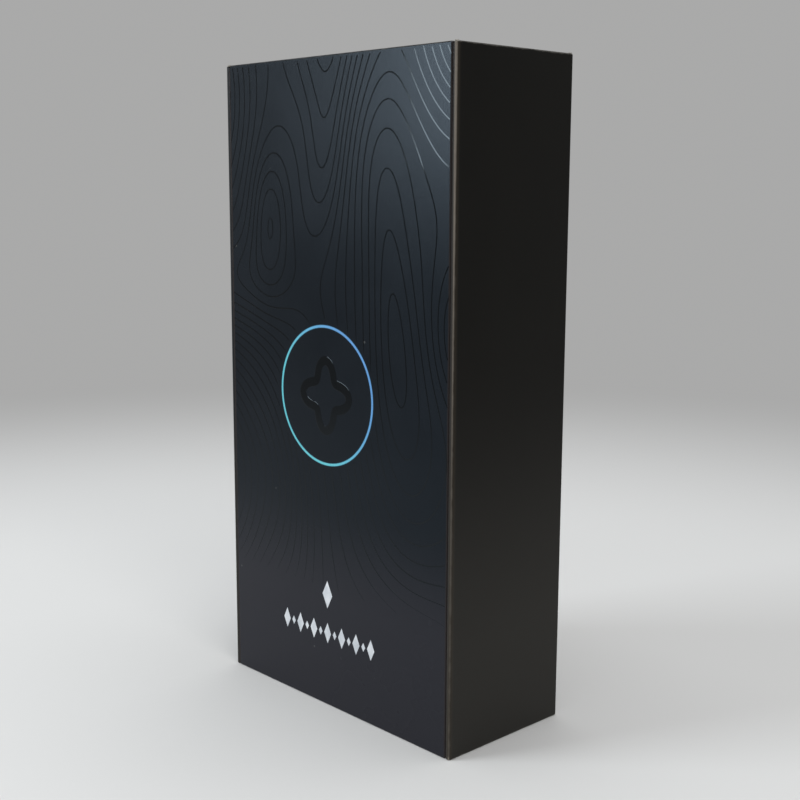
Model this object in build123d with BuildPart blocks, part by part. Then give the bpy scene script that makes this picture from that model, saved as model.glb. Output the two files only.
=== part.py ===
from build123d import *
import os
from collections import namedtuple

# Handheld translator in a book-style presentation case that stands on its short end.
# X runs across the printed front cover, the front faces -Y and Z is up.
# The origin is the middle of the case's footprint. All sizes are in millimetres.

# ---------------------------------------------------------------- driving dimensions: case
case_width = 92.5
case_depth = 43.0
case_height = 180.0
board_thickness = 1.2  # greyboard core of a cover panel
paper_thickness = 0.15  # wrap and lining paper
turn_in = 9.0  # wrap folded over onto a panel's inner face
lining_gap = 0.1  # lining sheet to the folded-over wrap
edge_radius = 0.4  # wrapped vertical edge of a cover panel
end_bevel = 0.3  # wrapped top and bottom edge of a cover panel
crease_gap = 0.2  # running gap between a crease bead and the panel beside it
cover_clearance = 0.3  # lid to tray rim, flap to tray wall and flap to back cover
cover_overhang = 1.0  # covers stand past the tray at both ends
tray_board_thickness = 1.5

magnet_width = 8.0
magnet_length = 18.0
magnet_thickness = 0.8
magnet_spacing = 96.0
magnet_inset = 14.0  # flap's free edge to the magnets' middle
magnet_fit = 0.05
strike_thickness = 0.8

# ---------------------------------------------------------------- driving dimensions: insert
insert_recess = 2.0  # insert face below the tray rim
insert_clearance = 0.25  # foam to tray walls
face_card_thickness = 0.6
pocket_clearance = 0.4
pocket_top_margin = 6.0  # foam between the pocket and the insert's upper end
notch_wall = 4.0  # foam left beside a finger notch
notch_depth = 10.0
key_relief = 3.0  # foam cut back beside the side keys
well_side_wall = 8.0  # foam left beside the well
well_height = 21.0
well_margin = 7.0  # foam between the well and the insert's lower end
well_floor = 4.0
well_corner_radius = 3.0

# ---------------------------------------------------------------- driving dimensions: translator
device_width = 56.0
device_height = 130.0
device_thickness = 12.0
device_corner_radius = 9.0
front_bevel = 0.9  # bright bevel round the translator's face
back_bevel = 2.4  # slope round the translator's back
device_proud = 0.8  # translator stands above the insert face
shell_wall = 1.5
face_thickness = 1.8
shell_split = 7.0  # depth of the joint line between front frame and rear shell
bench_gap = 0.2  # clearance between parts that are laid into the shells

glass_thickness = 0.8
glass_border = 1.8  # frame rim round the glass
glass_corner_radius = 6.5
chin_height = 28.0  # frame face below the glass, with the talk keys
window_fit = 0.05  # windows to their seats
adhesive_thickness = 0.2
adhesive_width = 2.0
display_thickness = 1.8

chassis_thickness = 0.8
pad_height = 0.5
pad_size = 3.2
circuit_board_thickness = 1.0
board_corner_cut = 4.0
main_board_height = 36.0
main_board_level = 103.0
lower_board_height = 25.0
lower_board_level = 15.0
shield_can_size = 15.0
shield_can_height = 1.6
shield_can_spacing = 19.0
shield_can_level = 95.0
battery_width = 44.0
battery_height = 52.0
battery_thickness = 6.0
battery_level = 56.0
battery_gap = 0.1
battery_corner_radius = 1.2

key_clearance = 0.15  # key to the opening that guides it
key_seat_gap = 0.1  # key flange behind the wall
key_flange = 0.6  # flange beyond the key's cap
key_flange_thickness = 0.8
key_bevel = 0.3
key_travel = 0.35
switch_gap = 0.1  # left under a key that is pressed home
switch_size = 3.4
talk_key_width = 20.0
talk_key_height = 9.0
talk_key_radius = 4.4
talk_key_spacing = 25.0
talk_key_level = 14.0
talk_key_proud = 0.5
side_key_depth = 4.6  # translator's front face to the middle of a side key
side_key_width = 3.0
side_key_radius = 1.4
side_key_proud = 0.6
power_key_length = 11.0
power_key_level = 87.0
volume_key_length = 22.0
volume_key_level = 109.0
volume_switch_spacing = 14.0
side_switch_thickness = 1.65
rocker_flange_length = 5.0

speaker_width = 30.0
speaker_height = 13.0
speaker_level = 17.0
speaker_recess = 0.8
speaker_rim = 2.0
grille_slot_width = 1.0
grille_slot_length = 8.0
grille_slot_pitch = 2.6
grille_slot_count = 7
mesh_thickness = 0.3
mesh_margin = 2.0
microphone_width = 3.4
microphone_height = 2.6
microphone_thickness = 1.1
upper_microphone_level = 118.0
sound_hole_diameter = 1.2
camera_size = 9.0
camera_barrel_radius = 3.2
camera_window_diameter = 11.0
camera_inset = 9.5  # board's side to the camera's middle
camera_level = 113.0
flash_window_diameter = 4.0
flash_spacing = 11.0
window_thickness = 1.0
window_seat = 0.8  # seat width under the edge of a rear window
window_sides = 8  # sides of the opening behind a rear window
antenna_width = 20.0
antenna_height = 10.0
antenna_thickness = 0.2
antenna_offset = -10.0
antenna_level = 108.0
socket_width = 9.0
socket_thickness = 3.2
socket_length = 7.4
socket_wall = 0.35
socket_recess = 0.3
socket_tongue_thickness = 0.7
socket_tongue_width = 6.4
screw_inset_x = 6.5  # translator's side to a case screw
screw_inset_z = 5.5
screw_radius = 0.9
screw_head_radius = 1.7
screw_head_thickness = 1.0
screw_fit = 0.05
screw_post_size = 4.6
screw_post_turn = 45  # posts stand with a flat side towards the corner

# ---------------------------------------------------------------- derived levels
panel_thickness = board_thickness + 2 * paper_thickness
bead_radius = panel_thickness / 2
half_width = case_width / 2
half_depth = case_depth / 2
crease_offset = panel_thickness + crease_gap

tray_left = -half_width + panel_thickness + cover_clearance
tray_right = half_width - panel_thickness
tray_front = -half_depth + panel_thickness + cover_clearance
tray_back = half_depth - panel_thickness
tray_centre_x = (tray_left + tray_right) / 2
tray_centre_z = case_height / 2
tray_width = tray_right - tray_left
tray_height = case_height - 2 * cover_overhang
tray_wall = tray_board_thickness + 2 * paper_thickness
tray_floor = tray_back - tray_board_thickness
inner_width = tray_width - 2 * tray_wall
inner_height = tray_height - 2 * tray_wall

insert_face = tray_front + insert_recess
foam_front = insert_face + face_card_thickness
foam_width = inner_width - 2 * insert_clearance
foam_height = inner_height - 2 * insert_clearance

device_front = insert_face - device_proud
notch_radius = (foam_width - device_width) / 2 - notch_wall
well_width = foam_width - 2 * well_side_wall
pocket_high = tray_centre_z + foam_height / 2 - pocket_top_margin
device_low = pocket_high - pocket_clearance - device_height
device_middle = device_height / 2
well_centre_z = tray_centre_z - foam_height / 2 + well_margin + well_height / 2

glass_width = device_width - 2 * glass_border
glass_height = device_height - glass_border - chin_height
glass_level = chin_height + glass_height / 2
ledge_depth = glass_thickness + adhesive_thickness
display_back = glass_thickness + display_thickness
chassis_back = display_back + chassis_thickness
board_front = chassis_back + pad_height
board_back = board_front + circuit_board_thickness
shell_floor = device_thickness - shell_wall
flange_front = face_thickness + key_seat_gap
flange_back = flange_front + key_flange_thickness
side_flange_front = shell_wall + key_seat_gap
side_flange_back = side_flange_front + key_flange_thickness
pressed_reach = key_travel + switch_gap
board_edge_inset = side_flange_back + pressed_reach + side_switch_thickness
main_board_width = device_width - 2 * board_edge_inset
camera_offset = main_board_width / 2 - camera_inset
socket_depth = board_back + socket_thickness / 2


def upright(y, x=tray_centre_x, z=tray_centre_z):
    """Front-facing plane of the case at depth y: its local x is X and its local y is Z."""
    return Plane(origin=(x, y, z), x_dir=(1, 0, 0), z_dir=(0, -1, 0))


def device_plane(depth, level=device_middle, offset=0.0):
    """Front-facing plane of the translator, at a depth behind its front face."""
    return upright(device_front + depth, tray_centre_x + offset, device_low + level)


def side_plane(inset, level):
    """Plane facing +X, set in from the translator's right side; local x is +Y, local y is Z."""
    x = tray_centre_x + device_width / 2 - inset
    origin = (x, device_front + side_key_depth, device_low + level)
    return Plane(origin=origin, x_dir=(0, 1, 0), z_dir=(1, 0, 0))


def finish(builder, name):
    """Label a finished piece and write it to its own STEP file."""
    builder.part.label = name
    export_step(builder.part, f"parts/{name}.step")


os.makedirs("parts", exist_ok=True)

# ---------------------------------------------------------------- cover panels
# A panel is drawn as its horizontal section and raised along Z; the section's local y points
# outwards. A bead is the full-round end of a panel at a crease, and the crease turns about it.
Panel = namedtuple("Panel", "name section length bead_start bead_end")


def section_plane(x, y, along):
    return Plane(origin=(x, y, 0), x_dir=along, z_dir=(0, 0, 1))


cover_length = case_width - 2 * crease_offset
back_length = case_width - crease_offset
flap_length = case_depth - panel_thickness - cover_clearance
front_y = -half_depth + bead_radius
side_x = half_width - bead_radius
back_x = -half_width + back_length / 2
flap_y = -half_depth + flap_length / 2

lid = Panel("lid", section_plane(0, front_y, (-1, 0, 0)), cover_length, False, False)
spine = Panel("spine", section_plane(side_x, 0, (0, -1, 0)), case_depth, True, True)
back = Panel("back", section_plane(back_x, -front_y, (1, 0, 0)), back_length, False, False)
flap = Panel("flap", section_plane(-side_x, flap_y, (0, 1, 0)), flap_length, True, False)


def panel_section(panel, inset):
    """Closed horizontal outline of a panel, or of its core at an inset inside the wrap."""
    half_length = panel.length / 2 - inset
    half_thick = panel_thickness / 2 - inset
    radius = edge_radius - inset
    with BuildSketch(panel.section.offset(inset)) as outline:
        with BuildLine():
            run = {}
            for side, beaded in ((-1, panel.bead_start), (1, panel.bead_end)):
                if beaded:
                    inner = (side * (half_length - half_thick), -half_thick)
                    outer = (side * (half_length - half_thick), half_thick)
                    ThreePointArc(inner, (side * half_length, 0), outer)
                else:
                    inner = (side * half_length, -half_thick)
                    outer = (side * (half_length - radius), half_thick)
                    centre = (side * (half_length - radius), half_thick - radius)
                    Line(inner, (side * half_length, half_thick - radius))
                    CenterArc(centre, radius, 45 - 45 * side, 90)
                run[side] = (inner, outer)
            Line(run[-1][0], run[1][0])
            Line(run[-1][1], run[1][1])
        make_face()
    return outline.sketch


def inner_face(panel, depth, shift=0.0):
    """Plane facing into the case, at a depth inside a panel's inner face."""
    outward = panel.section.y_dir
    along = panel.section.x_dir
    middle = panel.section.origin + Vector(0, 0, case_height / 2) + along * shift
    return Plane(origin=middle - outward * (bead_radius - depth), x_dir=along, z_dir=outward * -1)


magnet_shift = flap_length / 2 - magnet_inset


def magnet_pair(grow):
    """Two bars along the flap's height, in the sketch that is open; grown evenly for their seats."""
    with GridLocations(0, magnet_spacing, 1, 2):
        Rectangle(magnet_width + 2 * grow, magnet_length + 2 * grow)


def make_wrap(panel):
    """Paper skin that goes round a panel's core and is folded over onto its inner face."""
    with BuildPart() as wrap:
        extrude(panel_section(panel, 0), amount=case_height)
        ends = wrap.faces().filter_by(Axis.Z)
        chamfer(ends.edges(), end_bevel)
        core = panel_section(panel, paper_thickness)
        extrude(core, amount=case_height - 2 * paper_thickness, mode=Mode.SUBTRACT)
        with BuildSketch(inner_face(panel, paper_thickness)):
            Rectangle(panel.length - 2 * turn_in, case_height - 2 * turn_in)
        extrude(amount=paper_thickness, mode=Mode.SUBTRACT)
    finish(wrap, f"{panel.name}_wrap")


def make_board(panel, magnets=False):
    """Greyboard core of a panel, with blind seats for magnets where it has them."""
    with BuildPart() as board:
        extrude(panel_section(panel, paper_thickness), amount=case_height - 2 * paper_thickness)
        if magnets:
            with BuildSketch(inner_face(panel, paper_thickness + magnet_thickness, magnet_shift)):
                magnet_pair(magnet_fit)
            extrude(amount=magnet_thickness, mode=Mode.SUBTRACT)
    finish(board, f"{panel.name}_board")


def make_liner(panel):
    """Lining sheet that fills the window inside the folded-over wrap."""
    with BuildPart() as liner:
        with BuildSketch(inner_face(panel, paper_thickness)):
            side_gap = turn_in + lining_gap
            Rectangle(panel.length - 2 * side_gap, case_height - 2 * side_gap)
        extrude(amount=paper_thickness)
    finish(liner, f"{panel.name}_liner")


for panel in (lid, spine, back, flap):
    make_wrap(panel)
    make_board(panel, magnets=panel is flap)
for panel in (lid, flap):
    make_liner(panel)

# ---------------------------------------------------------------- magnetic closure
with BuildPart() as flap_magnets:
    with BuildSketch(inner_face(flap, paper_thickness + magnet_thickness, magnet_shift)):
        magnet_pair(0)
    extrude(amount=magnet_thickness)
finish(flap_magnets, "flap_magnets")

# Steel bars under the tray's paper, each one opposite its magnet.
magnet_y = flap_y + magnet_shift
strike_face = Plane(
    origin=(tray_left + paper_thickness, magnet_y, tray_centre_z),
    x_dir=(0, 1, 0),
    z_dir=(1, 0, 0),
)
with BuildPart() as strike_plates:
    with BuildSketch(strike_face):
        magnet_pair(0)
    extrude(amount=strike_thickness)
finish(strike_plates, "strike_plates")

# ---------------------------------------------------------------- tray
board_side = tray_board_thickness + paper_thickness  # outer face of the tray to the board's inner
with BuildPart() as tray_board:
    with BuildSketch(upright(tray_back)):
        Rectangle(tray_width - 2 * paper_thickness, tray_height - 2 * paper_thickness)
    extrude(amount=tray_back - tray_front - paper_thickness)
    with BuildSketch(upright(tray_floor)):
        Rectangle(tray_width - 2 * board_side, tray_height - 2 * board_side)
    extrude(amount=tray_floor - tray_front, mode=Mode.SUBTRACT)
    with BuildSketch(strike_face):
        magnet_pair(magnet_fit)
    extrude(amount=strike_thickness, mode=Mode.SUBTRACT)
finish(tray_board, "tray_board")

# The tray's paper goes up the outside of its walls, over the rim and down to the floor inside.
with BuildPart() as tray_wrap:
    with BuildSketch(upright(tray_back)):
        Rectangle(tray_width, tray_height)
    extrude(amount=tray_back - tray_front)
    with BuildSketch(upright(tray_back)):
        Rectangle(tray_width - 2 * paper_thickness, tray_height - 2 * paper_thickness)
    extrude(amount=tray_back - tray_front - paper_thickness, mode=Mode.SUBTRACT)
    with BuildSketch(upright(tray_floor)):
        Rectangle(tray_width - 2 * board_side, tray_height - 2 * board_side)
    extrude(amount=tray_floor - tray_front)
    with BuildSketch(upright(tray_floor)):
        Rectangle(inner_width, inner_height)
    extrude(amount=tray_floor - tray_front, mode=Mode.SUBTRACT)
finish(tray_wrap, "tray_wrap")


# ---------------------------------------------------------------- insert
def pocket_outline(depth):
    """Recess for the translator, with the relief beside its side keys."""
    keys_low = power_key_level - power_key_length / 2
    keys_high = volume_key_level + volume_key_length / 2
    relief_height = keys_high - keys_low + 2 * key_relief
    relief_level = (keys_low + keys_high) / 2
    relief_middle = (device_width + key_relief) / 2
    with BuildSketch(device_plane(depth)) as outline:
        RectangleRounded(
            device_width + 2 * pocket_clearance,
            device_height + 2 * pocket_clearance,
            device_corner_radius + pocket_clearance,
        )
        with Locations((relief_middle, relief_level - device_middle)):
            Rectangle(key_relief, relief_height)
    return outline.sketch


def notch_outline(depth):
    """Two round finger notches, halfway up the translator's sides."""
    with BuildSketch(device_plane(depth)) as outline:
        with GridLocations(device_width, 0, 2, 1):
            Circle(notch_radius)
    return outline.sketch


def well_outline(y):
    with BuildSketch(upright(y, z=well_centre_z)) as outline:
        RectangleRounded(well_width, well_height, well_corner_radius)
    return outline.sketch


with BuildPart() as foam_insert:
    with BuildSketch(upright(tray_floor)):
        Rectangle(foam_width, foam_height)
    extrude(amount=tray_floor - foam_front)
    extrude(pocket_outline(device_thickness), amount=device_thickness, mode=Mode.SUBTRACT)
    extrude(notch_outline(notch_depth), amount=notch_depth, mode=Mode.SUBTRACT)
    well_bottom = tray_floor - well_floor
    extrude(well_outline(well_bottom), amount=well_bottom - insert_face, mode=Mode.SUBTRACT)
finish(foam_insert, "foam_insert")

with BuildPart() as insert_card:
    with BuildSketch(upright(foam_front)):
        Rectangle(foam_width, foam_height)
    extrude(amount=face_card_thickness)
    for cut in (pocket_outline(device_thickness), notch_outline(device_thickness)):
        extrude(cut, amount=2 * device_thickness, mode=Mode.SUBTRACT)
    extrude(well_outline(tray_floor), amount=tray_floor - tray_front, mode=Mode.SUBTRACT)
finish(insert_card, "insert_card")


# ---------------------------------------------------------------- translator: shells
def shell_outline(depth, inset=0.0):
    """Rounded outline of the translator, or the same at an inset, on a plane at a depth."""
    with BuildSketch(device_plane(depth)) as outline:
        RectangleRounded(
            device_width - 2 * inset,
            device_height - 2 * inset,
            device_corner_radius - inset,
        )
    return outline.sketch


def key_outline(plane, width, height, radius, grow):
    """Outline of a key's cap, grown evenly for the opening or the flange round it."""
    with BuildSketch(plane) as outline:
        RectangleRounded(width + 2 * grow, height + 2 * grow, radius + grow)
    return outline.sketch


def flange_outline(plane, width, height):
    """Square-cornered flange that keeps a key behind its wall."""
    with BuildSketch(plane) as outline:
        Rectangle(width + 2 * key_flange, height + 2 * key_flange)
    return outline.sketch


def talk_key_plane(depth, side):
    return device_plane(depth, talk_key_level, side * talk_key_spacing / 2)


def talk_key_outline(depth, side, grow=0.0):
    plane = talk_key_plane(depth, side)
    return key_outline(plane, talk_key_width, talk_key_height, talk_key_radius, grow)


def side_key_outline(inset, level, length, grow=0.0):
    return key_outline(side_plane(inset, level), side_key_width, length, side_key_radius, grow)


def socket_outline(grow):
    """Mouth of the charging socket, on the translator's lower end."""
    mouth = Plane(
        origin=(tray_centre_x, device_front + socket_depth, device_low + socket_recess),
        x_dir=(1, 0, 0),
        z_dir=(0, 0, 1),
    )
    with BuildSketch(mouth) as outline:
        SlotOverall(socket_width + 2 * grow, socket_thickness + 2 * grow)
    return outline.sketch


side_keys = ((power_key_level, power_key_length), (volume_key_level, volume_key_length))

with BuildPart() as front_frame:
    extrude(shell_outline(shell_split), amount=shell_split)
    chamfer(front_frame.faces().sort_by(Axis.Y)[0].edges(), front_bevel)
    cavity = shell_outline(shell_split, shell_wall)
    extrude(cavity, amount=shell_split - face_thickness, mode=Mode.SUBTRACT)
    with BuildSketch(device_plane(ledge_depth, glass_level)):
        RectangleRounded(
            glass_width + 2 * window_fit,
            glass_height + 2 * window_fit,
            glass_corner_radius + window_fit,
        )
    extrude(amount=ledge_depth, mode=Mode.SUBTRACT)
    with BuildSketch(device_plane(face_thickness, glass_level)):
        RectangleRounded(
            glass_width - 2 * adhesive_width,
            glass_height - 2 * adhesive_width,
            glass_corner_radius - adhesive_width,
        )
    extrude(amount=face_thickness, mode=Mode.SUBTRACT)
    for side in (-1, 1):
        opening = talk_key_outline(face_thickness, side, key_clearance)
        extrude(opening, amount=face_thickness, mode=Mode.SUBTRACT)
    for level, length in side_keys:
        opening = side_key_outline(shell_wall, level, length, key_clearance)
        extrude(opening, amount=shell_wall, mode=Mode.SUBTRACT)
    with BuildSketch(device_plane(face_thickness, talk_key_level)):
        Circle(sound_hole_diameter / 2)
    extrude(amount=face_thickness, mode=Mode.SUBTRACT)
    extrude(socket_outline(bench_gap), amount=shell_wall, both=True, mode=Mode.SUBTRACT)
finish(front_frame, "front_frame")


def screw_places():
    """The four case screws, on a plane centred on the translator."""
    spacing_x = device_width - 2 * screw_inset_x
    spacing_z = device_height - 2 * screw_inset_z
    return GridLocations(spacing_x, spacing_z, 2, 2)


with BuildPart() as rear_shell:
    extrude(shell_outline(device_thickness), amount=device_thickness - shell_split)
    chamfer(rear_shell.faces().sort_by(Axis.Y)[-1].edges(), back_bevel)
    cavity = shell_outline(shell_floor, shell_wall)
    extrude(cavity, amount=shell_floor - shell_split, mode=Mode.SUBTRACT)
    with BuildSketch(device_plane(shell_floor)):
        with screw_places():
            Rectangle(screw_post_size, screw_post_size, rotation=screw_post_turn)
    extrude(amount=shell_floor - chassis_back)
    with BuildSketch(device_plane(device_thickness)):
        with screw_places():
            Circle(screw_radius + screw_fit)
    extrude(amount=device_thickness - chassis_back, mode=Mode.SUBTRACT)
    with BuildSketch(device_plane(device_thickness)):
        with screw_places():
            Circle(screw_head_radius + screw_fit)
    extrude(amount=screw_head_thickness, mode=Mode.SUBTRACT)
    windows = ((0, camera_window_diameter), (-flash_spacing, flash_window_diameter))
    for drop, diameter in windows:
        with BuildSketch(device_plane(device_thickness, camera_level + drop, camera_offset)):
            Circle(diameter / 2 + window_fit)
        extrude(amount=window_thickness, mode=Mode.SUBTRACT)
        with BuildSketch(device_plane(device_thickness, camera_level + drop, camera_offset)):
            RegularPolygon(diameter / 2 - window_seat, window_sides)
        extrude(amount=shell_wall, mode=Mode.SUBTRACT)
    with BuildSketch(device_plane(device_thickness, speaker_level)):
        with GridLocations(grille_slot_pitch, 0, grille_slot_count, 1):
            Rectangle(grille_slot_width, grille_slot_length)
    extrude(amount=shell_wall, mode=Mode.SUBTRACT)
    extrude(socket_outline(bench_gap), amount=shell_wall, both=True, mode=Mode.SUBTRACT)
finish(rear_shell, "rear_shell")

# ---------------------------------------------------------------- translator: display
with BuildPart() as front_glass:
    with BuildSketch(device_plane(glass_thickness, glass_level)):
        RectangleRounded(glass_width, glass_height, glass_corner_radius)
    extrude(amount=glass_thickness)
finish(front_glass, "front_glass")

with BuildPart() as screen_adhesive:
    with BuildSketch(device_plane(ledge_depth, glass_level)):
        RectangleRounded(glass_width, glass_height, glass_corner_radius)
        RectangleRounded(
            glass_width - 2 * adhesive_width,
            glass_height - 2 * adhesive_width,
            glass_corner_radius - adhesive_width,
            mode=Mode.SUBTRACT,
        )
    extrude(amount=adhesive_thickness)
finish(screen_adhesive, "screen_adhesive")

with BuildPart() as display_panel:
    with BuildSketch(device_plane(display_back, glass_level)):
        display_inset = adhesive_width + bench_gap
        RectangleRounded(
            glass_width - 2 * display_inset,
            glass_height - 2 * display_inset,
            glass_corner_radius - display_inset,
        )
    extrude(amount=display_thickness)
finish(display_panel, "display_panel")

# ---------------------------------------------------------------- translator: chassis and boards
board_places = ((main_board_level, main_board_height), (lower_board_level, lower_board_height))

with BuildPart() as chassis_plate:
    extrude(shell_outline(chassis_back, shell_wall + bench_gap), amount=chassis_thickness)
    with BuildSketch(device_plane(chassis_back, talk_key_level)):
        Rectangle(
            talk_key_spacing + talk_key_width + 2 * (key_flange + bench_gap),
            talk_key_height + 2 * (key_flange + bench_gap),
        )
    extrude(amount=chassis_thickness, mode=Mode.SUBTRACT)
    for level, length in side_keys:
        with BuildSketch(device_plane(chassis_back, level, device_width / 2)):
            Rectangle(2 * board_edge_inset, length + 2 * (key_flange + bench_gap))
        extrude(amount=chassis_thickness, mode=Mode.SUBTRACT)
    with BuildSketch(device_plane(chassis_back)):
        with screw_places():
            Circle(screw_radius + screw_fit)
    extrude(amount=chassis_thickness, mode=Mode.SUBTRACT)
    for level, height in board_places:
        with BuildSketch(device_plane(board_front, level + height / 4)):
            with GridLocations(main_board_width / 2, 0, 2, 1):
                Rectangle(pad_size, pad_size)
        extrude(amount=pad_height)
finish(chassis_plate, "chassis_plate")

with BuildPart() as main_board:
    with BuildSketch(device_plane(board_back, main_board_level)):
        Rectangle(main_board_width, main_board_height)
    extrude(amount=circuit_board_thickness)
finish(main_board, "main_board")

with BuildPart() as lower_board:
    with BuildSketch(device_plane(board_back, lower_board_level)) as lower_outline:
        Rectangle(main_board_width, lower_board_height)
        chamfer(lower_outline.vertices(), board_corner_cut)
    extrude(amount=circuit_board_thickness)
    with BuildSketch(device_plane(board_back)):
        with screw_places():
            post_relief = screw_post_size + 2 * bench_gap
            Rectangle(post_relief, post_relief, rotation=screw_post_turn)
    extrude(amount=circuit_board_thickness, mode=Mode.SUBTRACT)
finish(lower_board, "lower_board")

with BuildPart() as shield_cans:
    can_back = board_back + shield_can_height
    with BuildSketch(device_plane(can_back, shield_can_level)):
        with GridLocations(shield_can_spacing, 0, 2, 1):
            Rectangle(shield_can_size, shield_can_size)
    extrude(amount=shield_can_height)
finish(shield_cans, "shield_cans")

with BuildPart() as battery:
    battery_back = chassis_back + battery_gap + battery_thickness
    with BuildSketch(device_plane(battery_back, battery_level)):
        Rectangle(battery_width, battery_height)
    extrude(amount=battery_thickness)
    fillet(battery.edges().filter_by(Axis.Z), battery_corner_radius)
finish(battery, "battery")

with BuildPart() as antenna_flex:
    with BuildSketch(device_plane(shell_floor, antenna_level, antenna_offset)):
        Rectangle(antenna_width, antenna_height)
    extrude(amount=antenna_thickness)
finish(antenna_flex, "antenna_flex")

# ---------------------------------------------------------------- translator: sound
with BuildPart() as speaker_mesh:
    with BuildSketch(device_plane(shell_floor, speaker_level)):
        slots_width = grille_slot_pitch * (grille_slot_count - 1) + grille_slot_width
        Rectangle(slots_width + 2 * mesh_margin, grille_slot_length + 2 * mesh_margin)
    extrude(amount=mesh_thickness)
finish(speaker_mesh, "speaker_mesh")

with BuildPart() as speaker:
    speaker_back = shell_floor - mesh_thickness
    with BuildSketch(device_plane(speaker_back, speaker_level)):
        RectangleRounded(speaker_width, speaker_height, speaker_rim)
    extrude(amount=speaker_back - board_back)
    with BuildSketch(device_plane(speaker_back, speaker_level)):
        Rectangle(speaker_width - 2 * speaker_rim, speaker_height - 2 * speaker_rim)
    extrude(amount=speaker_recess, mode=Mode.SUBTRACT)
finish(speaker, "speaker")

with BuildPart() as microphones:
    with BuildSketch(device_plane(board_front, talk_key_level)):
        Rectangle(microphone_width, microphone_height)
    extrude(amount=microphone_thickness)
    with BuildSketch(device_plane(board_back + microphone_thickness, upper_microphone_level)):
        Rectangle(microphone_width, microphone_height)
    extrude(amount=microphone_thickness)
finish(microphones, "microphones")

# ---------------------------------------------------------------- translator: camera and light
with BuildPart() as camera_module:
    with BuildSketch(device_plane(shell_floor, camera_level, camera_offset)):
        Rectangle(camera_size, camera_size)
    extrude(amount=shell_floor - board_back)
    barrel_back = device_thickness - window_thickness
    with BuildSketch(device_plane(barrel_back, camera_level, camera_offset)):
        Circle(camera_barrel_radius)
    extrude(amount=barrel_back - shell_floor)
finish(camera_module, "camera_module")

rear_windows = (
    ("camera_window", camera_level, camera_window_diameter),
    ("flash_window", camera_level - flash_spacing, flash_window_diameter),
)
for name, level, diameter in rear_windows:
    with BuildPart() as rear_window:
        with BuildSketch(device_plane(device_thickness, level, camera_offset)):
            Circle(diameter / 2)
        extrude(amount=window_thickness)
    finish(rear_window, name)

# ---------------------------------------------------------------- translator: charging socket
with BuildPart() as usb_socket:
    extrude(socket_outline(0), amount=socket_length)
    extrude(socket_outline(-socket_wall), amount=socket_length - socket_wall, mode=Mode.SUBTRACT)
    tongue_root = Plane(
        origin=(tray_centre_x, device_front + socket_depth, device_low + 2 * socket_recess),
        x_dir=(1, 0, 0),
        z_dir=(0, 0, 1),
    )
    with BuildSketch(tongue_root):
        Rectangle(socket_tongue_width, socket_tongue_thickness)
    extrude(amount=socket_length - 2 * socket_recess)
finish(usb_socket, "usb_socket")

# ---------------------------------------------------------------- translator: keys
for name, side in (("talk_key_left", -1), ("talk_key_right", 1)):
    with BuildPart() as talk_key:
        extrude(talk_key_outline(flange_front, side), amount=flange_front + talk_key_proud)
        chamfer(talk_key.faces().sort_by(Axis.Y)[0].edges(), key_bevel)
        flange = flange_outline(talk_key_plane(flange_back, side), talk_key_width, talk_key_height)
        extrude(flange, amount=key_flange_thickness)
    finish(talk_key, name)

with BuildPart() as power_key:
    cap = side_key_outline(side_flange_front, power_key_level, power_key_length)
    extrude(cap, amount=side_flange_front + side_key_proud)
    chamfer(power_key.faces().sort_by(Axis.X)[-1].edges(), key_bevel)
    flange = flange_outline(side_plane(side_flange_back, power_key_level), side_key_width, power_key_length)
    extrude(flange, amount=key_flange_thickness)
finish(power_key, "power_key")

# The volume key rocks about a short flange at its middle; its two ends reach the switches.
with BuildPart() as volume_key:
    cap = side_key_outline(side_flange_back, volume_key_level, volume_key_length)
    extrude(cap, amount=side_flange_back + side_key_proud)
    chamfer(volume_key.faces().sort_by(Axis.X)[-1].edges(), key_bevel)
    rocker = side_plane(side_flange_back, volume_key_level)
    flange = flange_outline(rocker, side_key_width, rocker_flange_length)
    extrude(flange, amount=key_flange_thickness)
finish(volume_key, "volume_key")

with BuildPart() as key_switches:
    talk_switch_front = flange_back + pressed_reach
    with BuildSketch(device_plane(board_front, talk_key_level)):
        with GridLocations(talk_key_spacing, 0, 2, 1):
            Rectangle(switch_size, switch_size)
    extrude(amount=board_front - talk_switch_front)
    side_switch_face = side_flange_back + pressed_reach
    with BuildSketch(side_plane(board_edge_inset, power_key_level)):
        Rectangle(switch_size, switch_size)
    extrude(amount=board_edge_inset - side_switch_face)
    with BuildSketch(side_plane(board_edge_inset, volume_key_level)):
        with GridLocations(0, volume_switch_spacing, 1, 2):
            Rectangle(switch_size, switch_size)
    extrude(amount=board_edge_inset - side_switch_face)
finish(key_switches, "key_switches")

# ---------------------------------------------------------------- translator: screws
with BuildPart() as case_screws:
    with BuildSketch(device_plane(device_thickness)):
        with screw_places():
            Circle(screw_head_radius)
    extrude(amount=screw_head_thickness)
    with BuildSketch(device_plane(device_thickness - screw_head_thickness)):
        with screw_places():
            Circle(screw_radius)
    extrude(amount=device_thickness - screw_head_thickness - display_back)
finish(case_screws, "case_screws")
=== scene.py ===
import math

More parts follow.
